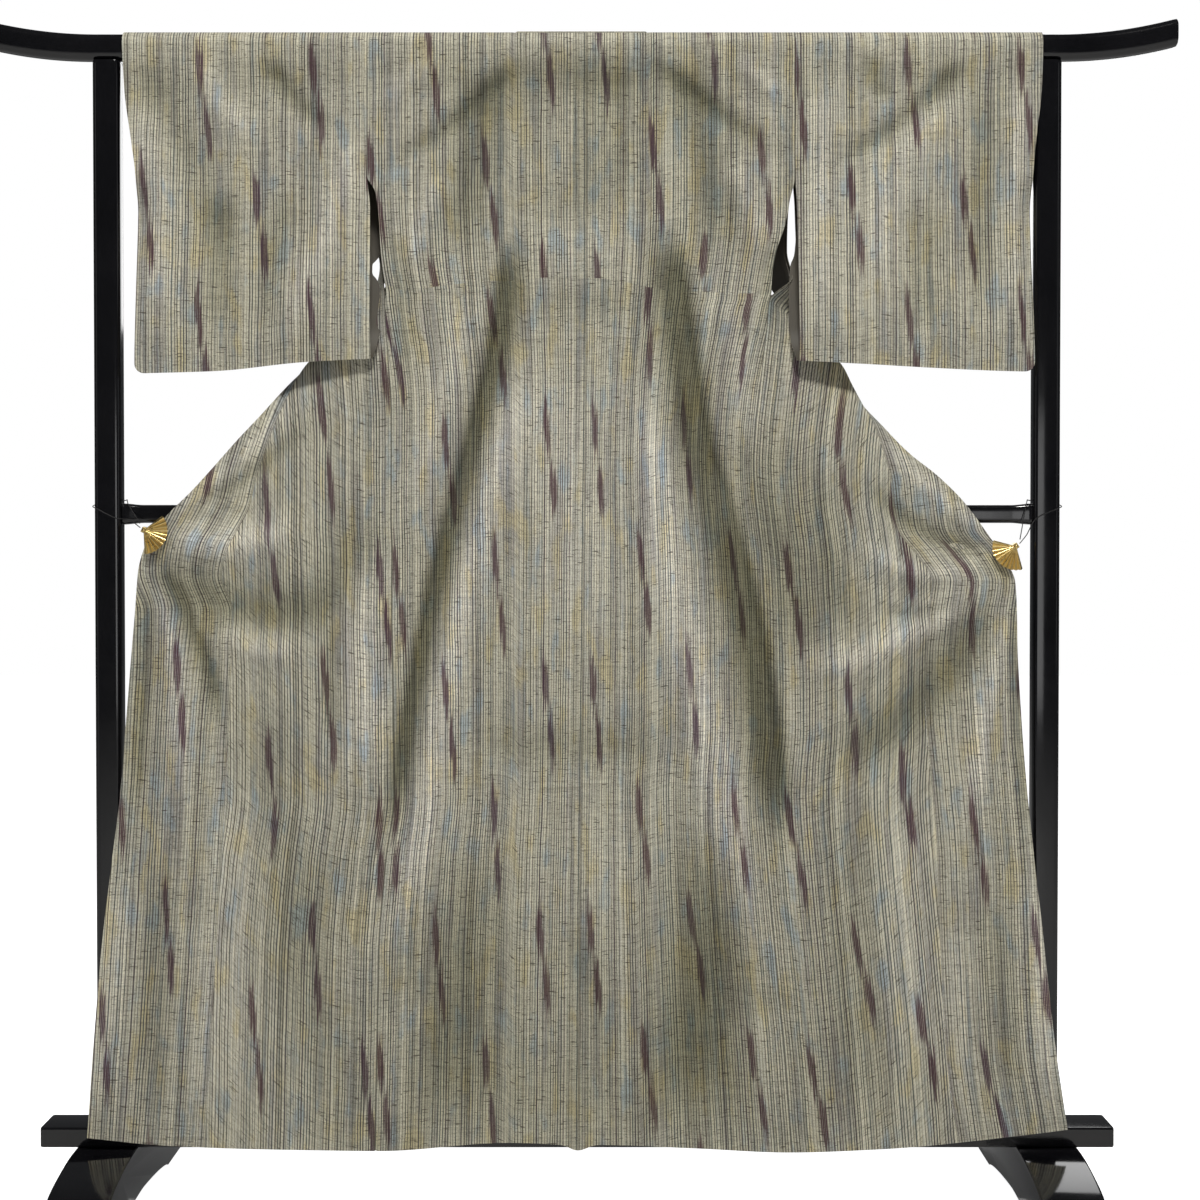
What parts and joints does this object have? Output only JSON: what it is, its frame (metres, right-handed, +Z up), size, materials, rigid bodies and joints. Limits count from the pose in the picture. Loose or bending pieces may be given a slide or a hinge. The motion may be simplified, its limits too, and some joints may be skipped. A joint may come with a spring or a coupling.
{
  "type": "silk kimono on a lacquered kimono stand",
  "caption": "Lined silk kimono with a striped slubbed weave, spread back-out over a black lacquered kimono stand, its fronts held out sideways by gilt fan clips.",
  "frame": {"origin": "on the floor, under the middle of the stand", "axes": "+Z up, +X along the stand to the garment's right sleeve, +Y from the garment's back towards its fronts, so the back is seen looking along +Y"},
  "size_m": [1.732, 0.6098, 1.7179],
  "materials": {
    "silk_cloth": "irregular pin-striped slubbed silk, soft matte with a faint sheen",
    "silk_lining": "plain dark olive-brown silk lining",
    "black_lacquer": "black lacquered wood, mirror-like gloss",
    "gilt_metal": "bright gilt metal",
    "black_cord": "thin black braided cord"
  },
  "bodies": {
    "root": {"top_bar": "black_lacquer", "mid_rail": "black_lacquer", "lower_beam": "black_lacquer", "post_left": "black_lacquer", "post_right": "black_lacquer", "foot_left": "black_lacquer", "foot_right": "black_lacquer", "back_left": "silk_cloth", "back_right": "silk_cloth", "front_left": "silk_cloth", "front_right": "silk_cloth", "overlap_left": "silk_cloth", "overlap_right": "silk_cloth", "collar": "silk_cloth", "sleeve_left_back": "silk_cloth", "sleeve_left_front": "silk_cloth", "sleeve_right_back": "silk_cloth", "sleeve_right_front": "silk_cloth", "underarm_lining_left": "silk_lining", "underarm_lining_right": "silk_lining", "fan_left": "gilt_metal", "fan_right": "gilt_metal", "clip_left": "gilt_metal", "clip_right": "gilt_metal", "clip_cord_left": "black_cord", "clip_cord_right": "black_cord"}
  },
  "joints": []
}
